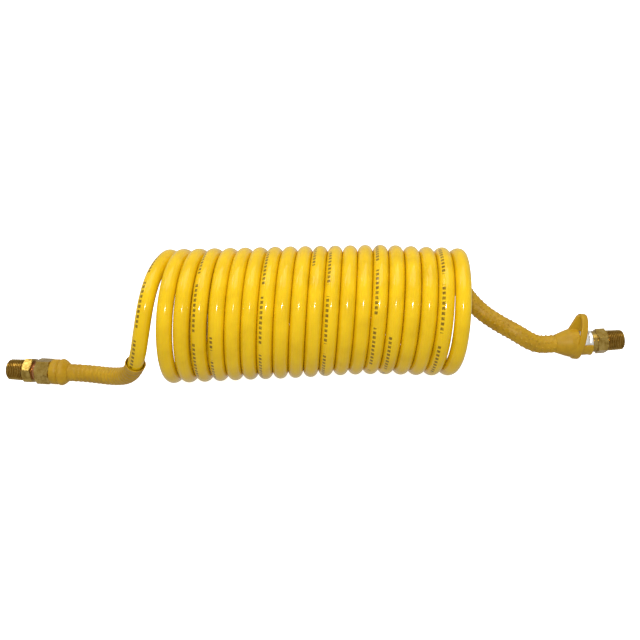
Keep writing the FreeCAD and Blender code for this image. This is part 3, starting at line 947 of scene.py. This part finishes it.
def add_grip_loop(bm):
    """Leaning oval loop, its section a rounded bar wider along the axis than across."""
    place = Matrix.Translation((LOOP_START + LOOP_DEPTH / 2, 0, LOOP_RISE))
    place = place @ Matrix.Rotation(-LOOP_LEAN, 4, "Y")
    around = 96
    corners = 24
    rings = []
    for i in range(around):
        angle = 2 * math.pi * i / around
        ring = []
        for j in range(corners):
            turn = 2 * math.pi * j / corners
            across = math.copysign(abs(math.cos(turn)) ** 0.55, math.cos(turn))
            along = math.copysign(abs(math.sin(turn)) ** 0.4, math.sin(turn))
            inset = LOOP_WALL / 2 * (1 - across)
            y = (LOOP_WIDTH / 2 - inset) * math.cos(angle)
            z = (LOOP_HEIGHT / 2 - inset) * math.sin(angle)
            ring.append(place @ Vector((LOOP_DEPTH / 2 * along, y, z)))
        rings.append(ring)
    join_rings(bm, rings, loop=True)


def add_plate(bm, corners, half):
    """A flat plate in the XZ plane, as thick as twice half."""
    rings = [[Vector((x, y, z)) for x, z in corners] for y in (-half, half)]
    rows = [[bm.verts.new(spot) for spot in ring] for ring in rings]
    count = len(corners)
    for i in range(count):
        j = (i + 1) % count
        bm.faces.new((rows[0][i], rows[0][j], rows[1][j], rows[1][i]))
    bm.faces.new(rows[0])
    bm.faces.new(rows[1])


def add_grip_gusset(bm):
    """Web inside the loop and out to the cone, which splits the loop's eye in two."""
    top = LOOP_RISE + LOOP_HEIGHT / 2
    corners = [
        (0.0336, 0.0101),
        (0.0455, 0.0095),
        (0.0432, 0.0135),
        (0.0369, top - 0.0012),
        (0.0316, top - 0.0020),
    ]
    add_plate(bm, corners, 0.0016)


def add_grip_saddle(bm):
    """Half sleeve under the ferrule, with a thicker lip at its end."""
    steps = 36
    inner = 0.00965
    rings = []
    for i in range(steps + 1):
        angle = math.pi + math.pi * i / steps
        section = (
            (0.0263, inner),
            (0.0263, 0.0113),
            (0.0278, 0.0113),
            (0.0287, 0.0109),
            (HUB_START + 0.001, 0.0109),
            (HUB_START + 0.001, inner),
        )
        rings.append([Vector((x, r * math.cos(angle), r * math.sin(angle))) for x, r in section])
    join_rings(bm, rings, loop=False)
    for ring in (rings[0], rings[-1]):
        bm.faces.new([bm.verts.new(spot) for spot in ring])


def remeshed(piece, voxel, rounds):
    """Fuse the overlapping shells of a piece into one skin and soften its edges."""
    remesh = piece.modifiers.new("fuse", "REMESH")
    remesh.mode = "VOXEL"
    remesh.voxel_size = voxel
    remesh.use_smooth_shade = True
    smooth = piece.modifiers.new("soften", "SMOOTH")
    smooth.factor = 0.5
    smooth.iterations = rounds
    graph = bpy.context.evaluated_depsgraph_get()
    mesh = bpy.data.meshes.new_from_object(piece.evaluated_get(graph))
    piece.modifiers.clear()
    old = piece.data
    piece.data = mesh
    bpy.data.meshes.remove(old)


def add_grip():
    """The moulded grip, fused from its sleeve, loop, web and saddle."""
    bm = bmesh.new()
    for part in (add_grip_sleeve, add_grip_loop, add_grip_gusset, add_grip_saddle):
        part(bm)
    bmesh.ops.remove_doubles(bm, verts=bm.verts, dist=1e-7)
    bmesh.ops.recalc_face_normals(bm, faces=bm.faces)
    piece = to_piece(bm, "grip_moulding", guard_plastic)
    remeshed(piece, 0.00035, 4)
    piece.matrix_world = right_end
    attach(piece, "hose")
    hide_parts("grip_handle")


# ---------------------------------------------------------------- guard sleeves


def add_sleeve(name, centre_line, sides, outer_radii, inner_radius, material, node):
    """A sleeve over the hose, from its fitting to its mouth."""
    length = lengths_along(centre_line)[-1]
    count = len(centre_line)
    tube = sections(centre_line, Vector((0, 0, 1)))
    outer = []
    inner = []
    for i, section in enumerate(tube):
        along = length * i / (count - 1)
        radii = [outer_radii(along, 2 * math.pi * j / sides, length) for j in range(sides)]
        outer.append(section_ring(section, radii))
        inner.append(section_ring(section, [inner_radius(along, length)] * sides))
    bm = bmesh.new()
    join_rings(bm, outer + inner[::-1], loop=True)
    settle(bm, 60)
    piece = to_piece(bm, name, material)
    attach(piece, "hose")
    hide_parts(node)


def flare(along, length, grow):
    """Extra radius of the left sleeve near its mouth."""
    share = max(0.0, (along - length + MOUTH_REACH) / MOUTH_REACH)
    return grow * share * share


def spiral_radius(along, angle, length):
    """Left sleeve: a shallow spiral rib that fades out at the collar, and a flared mouth."""
    rib = math.cos(2 * math.pi * along / RIB_PITCH - angle)
    fade = min(1.0, along / RIB_FADE)
    return RIB_SLEEVE_RADIUS + RIB_HEIGHT * rib * fade + flare(along, length, MOUTH_GROW)


def spiral_inner(along, length):
    """Inside of the left sleeve."""
    return SLEEVE_BORE + flare(along, length, MOUTH_BORE_GROW)


def pip_radius(along, angle, length):
    """Right sleeve: staggered rows of round pips, and one row of small pits low on its front."""
    lane = angle / (2 * math.pi) * PIP_LANES
    step = along / PIP_PITCH + 0.5 * (math.floor(lane) % 2)
    from_lane = (lane % 1 - 0.5) * 2 * math.pi / PIP_LANES * PIP_SLEEVE_RADIUS
    from_step = (step % 1 - 0.5) * PIP_PITCH
    pip = max(0.0, 1 - (math.hypot(from_lane, from_step) / PIP_RADIUS) ** 2)
    from_row = (angle - PIT_TURN) * PIP_SLEEVE_RADIUS
    from_pit = (along / PIT_PITCH % 1 - 0.5) * PIT_PITCH
    pit = max(0.0, 1 - (math.hypot(from_row, from_pit) / PIT_RADIUS) ** 2)
    return PIP_SLEEVE_RADIUS + PIP_HEIGHT * pip * (1 - pit) - PIT_DEPTH * pit


def pip_inner(along, length):
    """Inside of the right sleeve, which is the same all along."""
    return SLEEVE_BORE


def add_sleeves(line):
    """Both guard sleeves, along the hose's own line."""
    left_begin = COLLAR_END - COLLAR_START
    right_begin = GRIP_END - FERRULE_START
    left = stretch(line, left_begin, left_begin + LEFT_SLEEVE_LENGTH, 200)
    right = stretch(line[::-1], right_begin, right_begin + RIGHT_SLEEVE_LENGTH, 300)
    add_sleeve("left_sleeve", left, 48, spiral_radius, spiral_inner, guard_plastic, "left_guard_sleeve")
    add_sleeve("right_sleeve", right, 120, pip_radius, pip_inner, pip_plastic, "right_guard_sleeve")


# ---------------------------------------------------------------- assembly

add_camera()
add_floor()
add_lights()

hose_line = line_of(hose_route())
add_hose(hose_line)
add_sleeves(hose_line)
add_swivel_stem()
add_swivel_body()
add_left_collar()
add_rigid_adapter()
add_right_ferrule()
add_grip()

kept = {
    "swivel_washer": copper,
    "swivel_clip": spring_steel,
    "left_ferrule": plating,
    "front_seal": rubber,
    "rear_seal": rubber,
}
for node, material in kept.items():
    for place in frame["nodes"][node].material_slots:
        place.material = material
